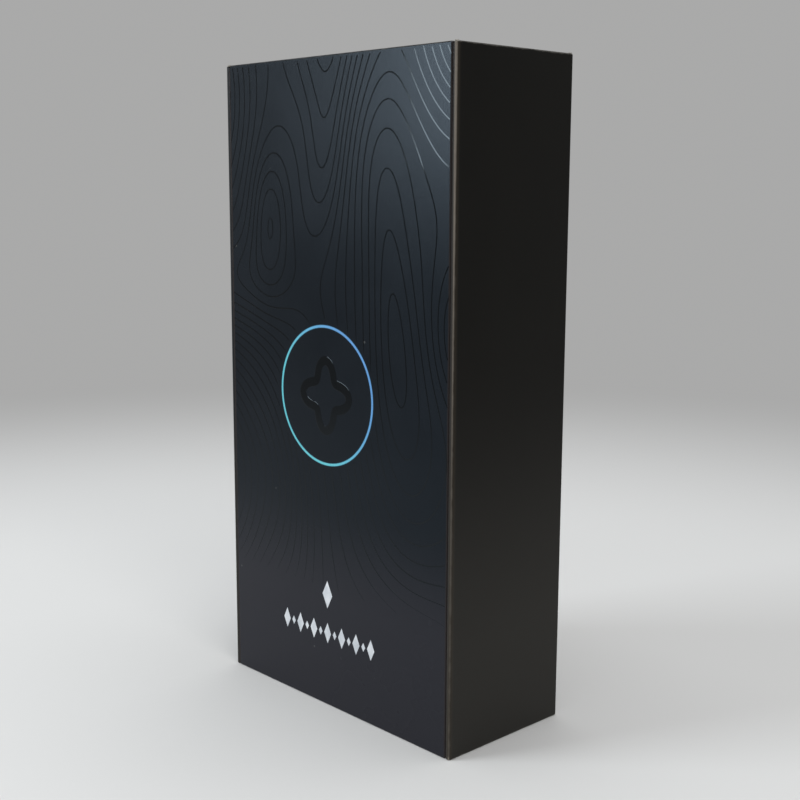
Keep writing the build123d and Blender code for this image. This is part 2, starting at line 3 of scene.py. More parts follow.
import bpy
import numpy as np
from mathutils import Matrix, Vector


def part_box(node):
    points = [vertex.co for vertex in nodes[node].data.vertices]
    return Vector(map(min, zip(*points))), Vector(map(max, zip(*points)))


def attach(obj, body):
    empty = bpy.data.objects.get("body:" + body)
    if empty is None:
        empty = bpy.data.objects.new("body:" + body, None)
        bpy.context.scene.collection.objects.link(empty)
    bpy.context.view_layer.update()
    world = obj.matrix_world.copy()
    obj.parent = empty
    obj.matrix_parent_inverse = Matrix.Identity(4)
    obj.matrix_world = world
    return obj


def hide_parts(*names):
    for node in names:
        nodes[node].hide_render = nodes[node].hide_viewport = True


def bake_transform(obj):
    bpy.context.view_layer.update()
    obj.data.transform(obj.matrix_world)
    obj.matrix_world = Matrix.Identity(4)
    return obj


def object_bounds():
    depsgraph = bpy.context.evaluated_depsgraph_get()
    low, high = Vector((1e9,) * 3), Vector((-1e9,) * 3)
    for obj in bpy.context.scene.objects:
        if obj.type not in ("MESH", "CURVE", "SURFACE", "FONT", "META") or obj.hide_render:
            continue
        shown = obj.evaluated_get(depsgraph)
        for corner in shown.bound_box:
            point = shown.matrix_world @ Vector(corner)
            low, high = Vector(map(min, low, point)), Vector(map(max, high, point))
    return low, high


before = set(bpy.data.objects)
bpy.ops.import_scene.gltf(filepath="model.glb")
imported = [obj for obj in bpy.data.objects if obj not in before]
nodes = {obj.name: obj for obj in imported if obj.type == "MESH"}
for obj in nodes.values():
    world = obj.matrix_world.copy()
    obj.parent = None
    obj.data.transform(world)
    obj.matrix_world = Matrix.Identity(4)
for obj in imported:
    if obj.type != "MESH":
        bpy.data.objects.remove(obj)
cad_low, cad_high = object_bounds()
scene = bpy.context.scene

# ---------------------------------------------------------------- greyboard
# The stiff core of every panel and of the tray: grey recycled board, pressed, with stray fibres.
# It is cut on a press and glued into its paper, and shows only where that paper ends.


def feed(tree, socket, source):
    """Link an output to a shader node's input, or give the input a plain value."""
    if isinstance(source, bpy.types.NodeSocket):
        tree.links.new(source, socket)
    elif socket.type == "RGBA" and len(source) == 3:
        socket.default_value = (*source, 1)
    else:
        socket.default_value = source


def add_node(tree, kind, inputs, **settings):
    """One shader node; inputs says what feeds each input, by its name or number."""
    made = tree.nodes.new(kind)
    for key, value in settings.items():
        setattr(made, key, value)
    for key, source in inputs.items():
        feed(tree, made.inputs[key], source)
    return made


def calculate(tree, operation, *sources, clamp=False):
    """Result of a Math node on outputs or numbers."""
    inputs = dict(enumerate(sources))
    return add_node(tree, "ShaderNodeMath", inputs, operation=operation, use_clamp=clamp).outputs[0]


def ramp(tree, source, low, high):
    """Smooth step of a value: 0 at low and below, 1 at high and above, or falling if low is larger."""
    start, end = (0.0, 1.0) if low < high else (1.0, 0.0)
    limits = {"From Min": min(low, high), "From Max": max(low, high), "To Min": start, "To Max": end}
    made = add_node(
        tree, "ShaderNodeMapRange", {"Value": source, **limits}, interpolation_type="SMOOTHSTEP"
    )
    return made.outputs["Result"]


def blend_colour(tree, share, first, second):
    """Mix of two colours, plain or worked out, by a share from 0 to 1."""
    return add_node(tree, "ShaderNodeMix", {0: share, 6: first, 7: second}, data_type="RGBA").outputs[2]


def noise(tree, place, scale, detail, **more):
    """Value of a noise texture, near 0.5 and seldom under 0.3 or over 0.7."""
    inputs = {"Vector": place, "Scale": scale, "Detail": detail, **more}
    return add_node(tree, "ShaderNodeTexNoise", inputs).outputs["Fac"]


def new_group(name, results, **values):
    """Node group with a Position, the inputs that values name, and results that are numbers.

    A value of three numbers makes a vector input. Returns the group, what it is given and the
    inputs that its results go to.
    """
    group = bpy.data.node_groups.new(name, "ShaderNodeTree")
    group.interface.new_socket("Position", in_out="INPUT", socket_type="NodeSocketVector")
    for key, value in values.items():
        kind = "NodeSocketVector" if isinstance(value, tuple) else "NodeSocketFloat"
        made = group.interface.new_socket(key.replace("_", " "), in_out="INPUT", socket_type=kind)
        made.default_value = value
    for key in results:
        group.interface.new_socket(key, in_out="OUTPUT", socket_type="NodeSocketFloat")
    return group, group.nodes.new("NodeGroupInput").outputs, group.nodes.new("NodeGroupOutput").inputs


def use_group(tree, group, position, **values):
    """Results of a node group set into a material, for a position and the material's own values."""
    inputs = {key.replace("_", " "): value for key, value in values.items()}
    return add_node(tree, "ShaderNodeGroup", {"Position": position, **inputs}, node_tree=group).outputs


def new_material(name, colour, roughness, **plain):
    """Material with a plain Principled shader; returns it, its tree, the shader's inputs and place."""
    made = bpy.data.materials.new(name)
    made.use_nodes = True
    tree = made.node_tree
    shader = tree.nodes["Principled BSDF"].inputs
    feed(tree, shader["Base Color"], colour)
    feed(tree, shader["Roughness"], roughness)
    for key, value in plain.items():
        feed(tree, shader[key.replace("_", " ")], value)
    return made, tree, shader, tree.nodes.new("ShaderNodeTexCoord").outputs["Object"]


def set_bump(tree, shader, height, strength, distance):
    """Bump of a height, feeding the shader's normal."""
    bump = add_node(
        tree, "ShaderNodeBump", {"Height": height, "Strength": strength, "Distance": distance}
    )
    feed(tree, shader["Normal"], bump.outputs["Normal"])
    return bump


def dress(material, *names):
    """Give CAD nodes this material in place of the one they came with."""
    for name in names:
        slots = nodes[name].data.materials
        slots.clear()
        slots.append(material)


# Paper grain: fine tooth and stretched fibres as a height, and slow mottling as a tone.
paper_grain, given, result = new_group("paper_grain", ("Height", "Tone"), Tooth=3000.0, Mottle=60.0)
tooth = noise(paper_grain, given["Position"], given["Tooth"], 3.0, Roughness=0.6)
stretched = add_node(paper_grain, "ShaderNodeMapping", {"Vector": given["Position"], "Scale": (1, 1, 0.3)})
fibres = noise(paper_grain, stretched.outputs[0], 1400.0, 2.0, Distortion=0.6)
mottle = noise(paper_grain, given["Position"], given["Mottle"], 4.0, Roughness=0.55)
feed(paper_grain, result["Height"], calculate(paper_grain, "MULTIPLY_ADD", fibres, 0.6, tooth))
feed(paper_grain, result["Tone"], ramp(paper_grain, mottle, 0.3, 0.7))


def grained(name, low, high, *, roughness, tooth, mottle, bump=None, **plain):
    """Material that wanders between two colours, with the grain's height as its bump.

    bump is a pair, the bump's strength and distance. Returns the material, its tree and place.
    """
    between = tuple((a + b) / 2 for a, b in zip(low, high))
    made, tree, shader, place = new_material(name, between, roughness, **plain)
    grain = use_group(tree, paper_grain, place, Tooth=tooth, Mottle=mottle)
    feed(tree, shader["Base Color"], blend_colour(tree, grain["Tone"], low, high))
    if bump:
        set_bump(tree, shader, grain["Height"], *bump)
    return made, tree, place


greyboard, _, _ = grained(
    "greyboard", (0.24, 0.225, 0.20), (0.36, 0.34, 0.31), roughness=0.9, tooth=1800.0, mottle=300.0,
    bump=(0.5, 0.0002), Specular_IOR_Level=0.2,
)
dress(greyboard, "lid_board", "spine_board", "back_board", "flap_board", "tray_board")

# ---------------------------------------------------------------- magnets and strike bars
# Nickel-plated magnet bars under the flap's lining and steel bars under the tray's paper hold the
# flap shut. They are glued in before the paper goes on.
nickel, _, _ = grained(
    "nickel_plate", (0.55, 0.53, 0.50), (0.68, 0.66, 0.62), roughness=0.28, tooth=2600.0, mottle=160.0,
    bump=(0.12, 0.00005), Metallic=1.0,
)
dress(nickel, "flap_magnets", "strike_plates")

# ---------------------------------------------------------------- wrapped panels
# Front cover, spine, back and flap: greyboard wrapped in black paper with a matt film, turned in over the
# edges. The film rubs pale along creases and edges and holds a little dust. Along the bead at the near
# corner the rubbed band also carries painted highlight and painted sheen, and towards the foot the film is
# painted a paler grey, a painted reflection of the table.
half_width, half_depth, case_height = (round(side, 6) for side in cad_high)
half_height = case_height / 2

# At a crease the one panel ends in a full-round bead, half its thickness in radius, and the crease
# turns about the bead with a small gap to the other panel.
bead_radius = 0.00075
crease_gap = 0.0002
lid_axis = (half_width - bead_radius, bead_radius - half_depth)
flap_axis = (-lid_axis[0], lid_axis[1])
panel_half_width = lid_axis[0] - bead_radius - crease_gap


def vector_math(tree, operation, *sources):
    """Result of a Vector Math node: a number for a length, distance or dot product."""
    made = add_node(tree, "ShaderNodeVectorMath", dict(enumerate(sources)), operation=operation)
    return made.outputs["Value" if operation in ("LENGTH", "DISTANCE", "DOT_PRODUCT") else "Vector"]


def separate(tree, vector):
    """The parts of a vector along X, Y and Z."""
    return add_node(tree, "ShaderNodeSeparateXYZ", {0: vector}).outputs


def facing(tree, place):
    """The parts of the surface's own normal along X, Y and Z."""
    return separate(tree, place.node.outputs["Normal"])


def lay_over(tree, mask, colour, share=1.0):
    """Lay a colour over what the shader's Base Color has so far, by a mask times a share."""
    base = tree.nodes["Principled BSDF"].inputs["Base Color"]
    if share < 1:
        mask = calculate(tree, "MULTIPLY", mask, share)
    feed(tree, base, blend_colour(tree, mask, base.links[0].from_socket, colour))


# Edge rub: 1 along the edges of a box and 0 inside, from the second smallest distance to its sides,
# with a width that noise makes patchy.
edge_rub, given, result = new_group(
    "edge_rub", ("Mask",), Centre=(0, 0, half_height), Half_Size=(half_width, half_depth, half_height),
    Width=0.0004,
)
from_centre = vector_math(edge_rub, "SUBTRACT", given["Position"], given["Centre"])
folded = vector_math(edge_rub, "ABSOLUTE", from_centre)
near_x, near_y, near_z = separate(edge_rub, vector_math(edge_rub, "SUBTRACT", given["Half Size"], folded))
smaller = calculate(edge_rub, "MINIMUM", near_x, near_y)
larger = calculate(edge_rub, "MAXIMUM", near_x, near_y)
second = calculate(edge_rub, "MAXIMUM", smaller, calculate(edge_rub, "MINIMUM", larger, near_z))
patches = calculate(edge_rub, "MULTIPLY_ADD", noise(edge_rub, given["Position"], 380.0, 4.0), 2.2, -0.2)
reach = calculate(edge_rub, "MULTIPLY", given["Width"], patches)
inward = calculate(edge_rub, "DIVIDE", second, reach)
feed(edge_rub, result["Mask"], calculate(edge_rub, "SUBTRACT", 1.0, inward, clamp=True))

# Crease rub: a soft band along an upright edge, from the level distance to that edge.
crease_rub, given, result = new_group(
    "crease_rub", ("Mask",), Edge=(half_width, -half_depth, 0), Inner=0.0005, Outer=0.0012
)
offset = vector_math(crease_rub, "SUBTRACT", given["Position"], given["Edge"])
distance = vector_math(crease_rub, "LENGTH", vector_math(crease_rub, "MULTIPLY", offset, (1, 1, 0)))
fall = add_node(
    crease_rub, "ShaderNodeMapRange",
    {
        "Value": distance, "From Min": given["Inner"], "From Max": given["Outer"],
        "To Min": 1.0, "To Max": 0.0,
    },
    interpolation_type="SMOOTHSTEP",
)
feed(crease_rub, result["Mask"], fall.outputs["Result"])

# Dust: a speck at the middle of a share of the cells of a cell pattern, of a size of its own.
dust, given, result = new_group("dust", ("Mask",), Scale=230.0, Share=0.03)
cells = add_node(
    dust, "ShaderNodeTexVoronoi", {"Vector": given["Position"], "Scale": given["Scale"]}
).outputs
chance, size, _ = separate(dust, cells["Color"])
chosen = calculate(dust, "LESS_THAN", chance, given["Share"])
speck = calculate(dust, "LESS_THAN", cells["Distance"], calculate(dust, "MULTIPLY", size, 0.10))
feed(dust, result["Mask"], calculate(dust, "MULTIPLY", chosen, speck))


def film_paper(name, low, high, roughness, gloss, tint):
    """Black paper under a matt film, mottled between two colours, with a sheen that wanders a little.

    Returns the material, its tree and place, the grain's results and the bump.
    """
    made, tree, shader, place = new_material(
        name, low, roughness, Specular_IOR_Level=gloss, Specular_Tint=tint
    )
    grain = use_group(tree, paper_grain, place, Tooth=5200.0, Mottle=24.0)
    feed(tree, shader["Base Color"], blend_colour(tree, grain["Tone"], low, high))
    feed(tree, shader["Roughness"], calculate(tree, "MULTIPLY_ADD", grain["Tone"], 0.05, roughness))
    bump = set_bump(tree, shader, grain["Height"], 0.16, 0.00004)
    return made, tree, place, grain, bump


def foot_sheen_and_rub(tree, place, foot_sheen, foot_sheen_top, foot_sheen_full, rub_width):
    """Painted reflection of the table: a paler grey that grows from the first given height down to the
    second, and rubbed edges.
    """
    # Painted reflection: the film is painted paler towards the foot.
    lay_over(tree, ramp(tree, separate(tree, place)["Z"], foot_sheen_top, foot_sheen_full), foot_sheen)
    rub = use_group(tree, edge_rub, place, Width=rub_width)
    lay_over(tree, rub["Mask"], (0.130, 0.122, 0.110), 0.75)


def sprinkle(tree, place, dusty_cells=0.2, colour=(0.10, 0.10, 0.095), share=0.5):
    """Dust in a share of the cells of the dust pattern, as much as the film holds if not told."""
    lay_over(tree, use_group(tree, dust, place, Share=dusty_cells)["Mask"], colour, share)


def wear_and_highlight_bead(tree, place, tone):
    """Band along the bead between cover and spine: a brown band of painted sheen on the rounded edge, and in
    it a pale band that is partly the paper rubbed bare and partly a painted highlight.

    The pale band reaches 0.40 mm from its line, and 0.62 mm near the top. It is paler with height, as a
    painted highlight that is stronger towards the top, and at the very foot, and is uneven as the paper's
    tone is.
    """
    # Painted sheen: a brown band over the rounded bead.
    sheen_band = use_group(tree, crease_rub, place, Inner=0.0005, Outer=0.0016)
    lay_over(tree, sheen_band["Mask"], (0.046, 0.036, 0.026), 0.4)
    stand = separate(tree, place)["Z"]
    outer = calculate(tree, "MULTIPLY_ADD", ramp(tree, stand, 0.115, 0.170), 0.00022, 0.00040)
    line = (half_width - 0.00022, -half_depth - 0.00009, 0)
    bare_and_highlight = use_group(tree, crease_rub, place, Edge=line, Inner=0.00022, Outer=outer)
    # Painted highlight that grows with height; the pale band is partly rubbed paper and partly this painted
    # highlight.
    highlight_with_height = calculate(tree, "MULTIPLY_ADD", ramp(tree, stand, 0.02, 0.17), 0.60, 0.09)
    foot = calculate(tree, "MULTIPLY", ramp(tree, stand, 0.0014, 0.0005), 0.9)
    rubbed_and_highlight = calculate(tree, "MULTIPLY", bare_and_highlight["Mask"], calculate(tree, "MAXIMUM", highlight_with_height, foot))
    uneven = calculate(tree, "MULTIPLY_ADD", tone, 0.25, 0.8)
    lay_over(tree, calculate(tree, "MULTIPLY", rubbed_and_highlight, uneven), (0.230, 0.200, 0.170))


def crack_folds(tree, place):
    """Pale brown creases in the film where the cover folds off the beads at its two sides."""
    beyond_panel, under_face = 0.00035, 0.0003
    for side in (-1, 1):
        fold = (side * (panel_half_width + beyond_panel), under_face - half_depth, 0)
        crease = use_group(tree, crease_rub, place, Edge=fold, Inner=0.0003, Outer=0.0009)
        lay_over(tree, crease["Mask"], (0.045, 0.037, 0.034), 0.8)


def cut_mitres(tree, place, bump):
    """Mitres on the inner face, where the wrap's turned-in flaps meet, as fine sunken dark lines.

    A point lies on one where it is as far from the panel's nearer side as from its nearer end.
    """
    across, _, stand = separate(tree, place)
    from_side = calculate(tree, "SUBTRACT", panel_half_width, calculate(tree, "ABSOLUTE", across))
    from_level = calculate(tree, "ABSOLUTE", calculate(tree, "SUBTRACT", stand, half_height))
    from_end = calculate(tree, "SUBTRACT", half_height, from_level)
    askew = calculate(tree, "ABSOLUTE", calculate(tree, "SUBTRACT", from_side, from_end))
    inner_face = ramp(tree, facing(tree, place)["Y"], 0.4, 0.7)
    mitre = calculate(tree, "MULTIPLY", ramp(tree, askew, 0.00022, 0.00008), inner_face)
    lay_over(tree, mitre, (0.001, 0.001, 0.0012), 0.7)
    height, sunk = bump.inputs["Height"], -4.0
    feed(tree, height, calculate(tree, "MULTIPLY_ADD", mitre, sunk, height.links[0].from_socket))


cover_paper, tree, place, _, bump = film_paper(
    "cover_paper", (0.0030, 0.0042, 0.0062), (0.0044, 0.0058, 0.0082), roughness=0.23, gloss=0.145,
    tint=(0.58, 0.79, 1.0),
)
# Painted reflection of the table towards the foot, and rubbed edges.
foot_sheen_and_rub(tree, place, (0.0160, 0.0150, 0.0185), foot_sheen_top=0.062, foot_sheen_full=0.030, rub_width=0.00030)
sprinkle(tree, place)
crack_folds(tree, place)
cut_mitres(tree, place, bump)
dress(cover_paper, "lid_wrap")

side_paper, tree, place, grain, _ = film_paper(
    "side_paper", (0.0030, 0.0029, 0.0025), (0.0044, 0.0042, 0.0036), roughness=0.42, gloss=0.14,
    tint=(1.0, 0.97, 0.90),
)
# The part of the bead that faces the front is printed as blue as the cover.
lay_over(tree, ramp(tree, facing(tree, place)["Y"], -0.55, -0.8), (0.0042, 0.0056, 0.0080))
# Painted reflection of the table towards the foot, and rubbed edges.
foot_sheen_and_rub(tree, place, (0.0210, 0.0200, 0.0178), foot_sheen_top=0.105, foot_sheen_full=0.020, rub_width=0.00050)
wear_and_highlight_bead(tree, place, grain["Tone"])
sprinkle(tree, place)
dress(side_paper, "spine_wrap", "back_wrap", "flap_wrap")

# ---------------------------------------------------------------- crease paper
# The wrap runs across both creases as a tongue of doubled paper between a panel's edge and the
# rounded bead beside it.


def surface(name, points, faces, material, smooth=True, sharp_over=None):
    """Object at the origin, from points and, for each face, the numbers of its points in turn."""
    mesh = bpy.data.meshes.new(name)
    mesh.from_pydata(points.reshape(-1, 3).tolist(), [], faces)
    mesh.polygons.foreach_set("use_smooth", np.full(len(mesh.polygons), smooth))
    if sharp_over:
        mesh.set_sharp_from_angle(angle=sharp_over)
    mesh.update()
    mesh.materials.append(material)
    made = bpy.data.objects.new(name, mesh)
    scene.collection.objects.link(made)
    return made


def tube_quads(rings, around, first=0):
    """Quads that join rings of points, each closed round, numbered from first."""
    index = first + np.arange(rings * around).reshape(rings, around)
    here, ahead = index[:-1], index[1:]
    return np.stack([here, np.roll(here, -1, 1), np.roll(ahead, -1, 1), ahead], -1).reshape(-1, 4)


def crease_tongue(name, axis, bead_angle, panel_angle):
    """Tongue of paper in a crease: a ring sector round the hinge axis, run along Z.

    At an angle t between the two ends the sector lies from the bead's radius to that radius plus
    most of the gap, thinner towards the bead, where it joins the bead's own skin. Returns it and
    the points at mid height where it leaves the bead and where it meets the panel.
    """
    skin, thinnest, most, end_margin = 0.000012, 0.00003, 0.62, 0.0006
    share = np.linspace(0, 1, 29)
    angle = np.radians(bead_angle + (panel_angle - bead_angle) * share)
    swell = np.sin(np.minimum(share * 2.2, 1) * np.pi / 2)
    inner = bead_radius + skin + 0 * share
    outer = bead_radius + thinnest + crease_gap * most * swell
    radius = np.concatenate([inner, outer[::-1]])
    sweep = np.concatenate([angle, angle[::-1]])
    ring = np.stack([axis[0] + radius * np.cos(sweep), axis[1] + radius * np.sin(sweep)], -1)
    levels = np.linspace(end_margin, case_height - end_margin, 61)
    points = np.zeros((len(levels), len(ring), 3))
    points[..., :2] = ring
    points[..., 2] = levels[:, None]
    faces = tube_quads(len(levels), len(ring))
    if panel_angle > bead_angle:
        faces = faces[:, ::-1]
    made = surface(name, points, faces.tolist(), cover_paper)
    return made, (*ring[0], half_height), (*ring[len(share) - 1], half_height)


lid_crease, at_bead, at_panel = crease_tongue("lid_crease_paper", lid_axis, 232, 165)
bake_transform(lid_crease)
flap_crease, at_bead, at_panel = crease_tongue("flap_crease_paper", flap_axis, -52, 15)
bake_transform(flap_crease)

# ---------------------------------------------------------------- corner tucks
# At the top of each rounded edge the wrap is pinched and tucked under, which leaves a small hard
# knob of folded paper, rubbed pale.
tuck_paper, _, _ = grained(
    "tuck_paper", (0.07, 0.065, 0.058), (0.36, 0.34, 0.31), roughness=0.5, tooth=4000.0, mottle=900.0,
    bump=(0.4, 0.0001), Specular_IOR_Level=0.3,
)


def corner_tuck(name, centre, body):
    """Low knob on the end of a rounded edge: a dome with four soft pleats, closed below.

    At an angle t round it and a share s of a quarter turn up it, the radius is the bead's, less a
    little for the bevel, times cos(s) times 1 + 0.07 cos(4 t), and the height is 0.34 mm times
    sin(s), from just under the case's top. A straight skirt runs down from there into the bead.
    """
    bevel, rise, sunk, skirt, around = 0.00012, 0.00034, 0.00005, 0.0004, 48
    angle = np.linspace(0, 2 * np.pi, around, endpoint=False)
    share = np.linspace(0, np.pi / 2, 9)[:-1, None]
    radius = (bead_radius - bevel) * np.cos(share) * (1 + 0.07 * np.cos(4 * angle))
    height = case_height - sunk + rise * np.sin(share) + 0 * radius
    rings = np.stack([centre[0] + radius * np.cos(angle), centre[1] + radius * np.sin(angle), height], -1)
    below = rings[:1].copy()
    below[..., 2] = case_height - skirt
    points = np.concatenate([below, rings])
    first_ring = np.arange(around)
    last_ring = first_ring + (len(points) - 1) * around
    faces = tube_quads(len(points), around)[:, ::-1].tolist()
    faces += [first_ring[::-1].tolist(), last_ring.tolist()]
    made = surface(name, points, faces, tuck_paper)
    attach(made, body)


corner_tuck("corner_tuck_front", lid_axis, "case")
corner_tuck("corner_tuck_back", (lid_axis[0], -lid_axis[1]), "case")
corner_tuck("corner_tuck_flap", flap_axis, "flap")

# ---------------------------------------------------------------- printing on the front cover
# Raised gloss varnish in contour lines, as on a map; a ring printed in blue and a gloss rosette
# inside it; and a foil ornament below. Each lies on the matt film and rides with the cover.
cover_face = -half_depth
varnish_height = 0.000016
ring_centre = (-0.0025, 0.0895)
ring_radius = 0.0191

# The contour lines are levels of a relief: a gentle slope with round hills and hollows on it. Each
# hill has a place across and up the cover and two radii in millimetres, a turn and a height.
hills = np.array([
    (20, 155, 10, 22, 0.1, 3),      # head of the long ridge on the right
    (27, 88, 13, 32, 0.1, 5.5),     # broad body of that ridge
    (24, 116, 5, 20, 0.1, 2),       # its narrow crest
    (0, 192, 12, 20, 0.0, -7),      # wide mouth of the valley at the top edge
    (-2, 154, 6, 16, -0.1, -3),     # the valley's narrow lower end
    (-27, 137, 6, 13, 0.0, 4.5),    # oval hill left of the valley
    (-57, 172, 14, 20, 0.0, -9),    # hollow beyond the upper left edge
    (57, 184, 15, 17, 0.4, -11),    # hollow beyond the upper right corner
    (-60, 60, 30, 32, 0.0, -16),    # wide basin beyond the lower left edge
    (-46, 118, 20, 10, 0.0, 4),     # spur over the basin, where the lines crowd together
    (49, 110, 7, 12, 0.0, -4),      # small hollow at the right edge
    (36, 26, 24, 16, 0.0, -4),      # shallow hollow at the lower right
    (-22, 60, 8, 24, 0.2, -1.5),    # dip in the side of the basin
])
lean_across, lean_up = 3 / 46, 1 / 90   # slope of the ground, from the left and from the foot
middle_up = half_height * 1000


def relief(x, z):
    """Height of the relief and its slopes along x and z, all at points given in millimetres.

    The height is lean_across x + lean_up (z - middle_up), plus for each hill its height times
    exp(-(u u + v v) / 2), where u and v are the distances from the hill's middle along its two
    turned axes, each over that axis's radius.
    """
    across, up, wide, tall, turn, peak = hills.T
    step_x, step_z = x[..., None] - across, z[..., None] - up
    cos, sin = np.cos(turn), np.sin(turn)
    u = (step_x * cos + step_z * sin) / wide
    v = (step_z * cos - step_x * sin) / tall
    bump = peak * np.exp(-(u * u + v * v) / 2)
    slope_x = (bump * (v * sin / tall - u * cos / wide)).sum(-1) + lean_across
    slope_z = (bump * (-u * sin / wide - v * cos / tall)).sum(-1) + lean_up
    return bump.sum(-1) + lean_across * x + lean_up * (z - middle_up), slope_x, slope_z


def smooth_step(value, low, high):
    """0 at low and below, 1 at high and above, and 3 s s - 2 s s s at a share s between them."""
    share = np.clip((value - low) / (high - low), 0, 1)
    return share * share * (3 - 2 * share)


def ink(x, z):
    """Share of a line's full width at points in millimetres.

    It is 1 in the open, and falls to 0 close round the ring, at the sides and the top, and slowly
    towards the foot.
    """
    from_ring = np.hypot(x - ring_centre[0] * 1000, z - ring_centre[1] * 1000) - ring_radius * 1000
    side, top, foot, faded = 44.5, 179.7, 33, 47
    return (
        smooth_step(from_ring, 0.9, 3.2)
        * smooth_step(side - np.abs(x), 0, 0.4)
        * smooth_step(top - z, 0, 0.4)
        * smooth_step(z, foot, faded)
    )


# The relief's height on a grid of square cells, in millimetres, from 30 mm up to the top edge.
cell = 0.7
grid_x = np.arange(-45.5, 45.51, cell)
grid_z = np.arange(30.0, 180.4, cell)
grid_height = relief(*np.meshgrid(grid_x, grid_z))[0]


def contour_band(level, half_width):
    """Points and quads of the relief's contour band at one level.

    The line crosses the sides of cells where the relief passes the level. Each crossing is moved
    down or up the slope onto the line. Four points lie across the line there: two on the film,
    half a width to either side, and two just inside them on top of the varnish. A cell's two
    crossings are joined by three quads, one on top and one down each side.
    """
    rows, columns = grid_height.shape
    above = grid_height > level
    level_side = np.zeros((rows, columns), bool)
    level_side[:, :-1] = above[:, :-1] != above[:, 1:]
    upright_side = np.zeros((rows, columns), bool)
    upright_side[:-1] = above[:-1] != above[1:]
    crossed = np.flatnonzero(np.concatenate([level_side.ravel(), upright_side.ravel()]))
    number = np.full(2 * rows * columns, -1)
    number[crossed] = np.arange(len(crossed))

    # Where each side is crossed: in proportion to the heights of its ends, then two steps nearer.
    row, column = np.divmod(crossed % (rows * columns), columns)
    upright = crossed >= rows * columns
    row_end, column_end = row + upright, column + ~upright
    start, end = grid_height[row, column], grid_height[row_end, column_end]
    share = (level - start) / (end - start)
    line_x = grid_x[column] + share * (grid_x[column_end] - grid_x[column])
    line_z = grid_z[row] + share * (grid_z[row_end] - grid_z[row])
    for _ in range(2):
        height, slope_x, slope_z = relief(line_x, line_z)
        steep = slope_x**2 + slope_z**2 + 1e-9
        line_x = line_x - (height - level) * slope_x / steep
        line_z = line_z - (height - level) * slope_z / steep
    _, slope_x, slope_z = relief(line_x, line_z)
    uphill = np.stack([slope_x, slope_z], -1) / (np.hypot(slope_x, slope_z) + 1e-9)[:, None]
    line = np.stack([line_x, line_z], -1)

    # The crossings of each cell that has two, in the order that turns the quads outwards.
    sides = np.stack([
        level_side[:-1, :-1], level_side[1:, :-1], upright_side[:-1, :-1], upright_side[:-1, 1:],
    ], -1)
    corner = np.arange(rows * columns).reshape(rows, columns)[:-1, :-1]
    first_upright = corner + rows * columns
    side_number = number[np.stack([corner, corner + columns, first_upright, first_upright + 1], -1)]
    pair = np.argsort(~sides, axis=-1, kind="stable")[..., :2]
    ends = np.take_along_axis(side_number, pair, -1)[sides.sum(-1) == 2]
    along = line[ends[:, 1]] - line[ends[:, 0]]
    across = uphill[ends[:, 0]]
    turned = along[:, 0] * across[:, 1] - along[:, 1] * across[:, 0] < 0
    ends = np.where(turned[:, None], ends[:, ::-1], ends)

    # A line is left out where the ink is very faint, and elsewhere keeps at least 15% of its width.
    faintest, thinnest, top_share = 0.04, 0.15, 0.9
    strength = ink(line_x, line_z)
    ends = ends[strength[ends].min(-1) > faintest]
    half = (half_width * np.maximum(strength, thinnest))[:, None] * uphill
    flat = np.stack([line - half, line - half * top_share, line + half * top_share, line + half], 1)
    points = np.zeros((len(line), 4, 3))
    points[..., 0] = flat[..., 0] / 1000
    points[..., 2] = flat[..., 1] / 1000
    points[..., 1] = cover_face
    points[:, 1:3, 1] -= varnish_height
    foot = ends[:, :, None] * 4 + np.arange(4)
    quads = np.stack([foot[:, 0, :-1], foot[:, 1, :-1], foot[:, 1, 1:], foot[:, 0, 1:]], -1)
    return points.reshape(-1, 3), quads.reshape(-1, 4)


# A line for each whole level between the relief's lowest and highest points.
line_half_width = 0.19
all_points, all_quads, count = [], [], 0
for level in range(math.ceil(grid_height.min()), math.floor(grid_height.max()) + 1):
    points, quads = contour_band(level, line_half_width)
    all_points.append(points)
    all_quads.append(quads + count)
    count += len(points)
used, quads = np.unique(np.concatenate(all_quads), return_inverse=True)
points = np.concatenate(all_points)[used]

varnish, _, _ = grained(
    "gloss_varnish", (0.0006, 0.0007, 0.0009), (0.0010, 0.0012, 0.0015), roughness=0.06, tooth=900.0,
    mottle=90.0, bump=(0.05, 0.00004), Specular_IOR_Level=0.20, Specular_Tint=(0.66, 0.85, 1.0),
)
contours = surface("contour_lines", points, quads.reshape(-1, 4).tolist(), varnish, smooth=False)


def printed_band(name, outline, width, sides, material):
    """Low band round the ring's centre, along an outline that gives the radius at each angle.

    Its profile rises over 3% of the width, runs level and falls again. It is set out along the
    outline's own normal, so the band keeps its width where the radius changes.
    """
    angle = np.linspace(0, 2 * np.pi, sides, endpoint=False)
    radius = outline(angle)
    path = np.stack([radius * np.cos(angle), radius * np.sin(angle)], -1)
    along = np.roll(path, -1, 0) - np.roll(path, 1, 0)
    along /= np.linalg.norm(along, axis=1)[:, None]
    outward = np.stack([along[:, 1], -along[:, 0]], -1)
    offset = np.array([-0.5, -0.47, 0.47, 0.5]) * width
    flat = path[:, None, :] + outward[:, None, :] * offset[None, :, None]
    points = np.zeros((sides, 4, 3))
    points[..., 0] = ring_centre[0] + flat[..., 0]
    points[..., 2] = ring_centre[1] + flat[..., 1]
    points[..., 1] = cover_face - np.array([0, 1, 1, 0]) * varnish_height
    index = np.arange(sides * 4).reshape(sides, 4)
    ahead = np.roll(index, -1, 0)
    quads = np.stack([index[:, :-1], ahead[:, :-1], ahead[:, 1:], index[:, 1:]], -1).reshape(-1, 4)
    return surface(name, points, quads[:, ::-1].tolist(), material, smooth=False)


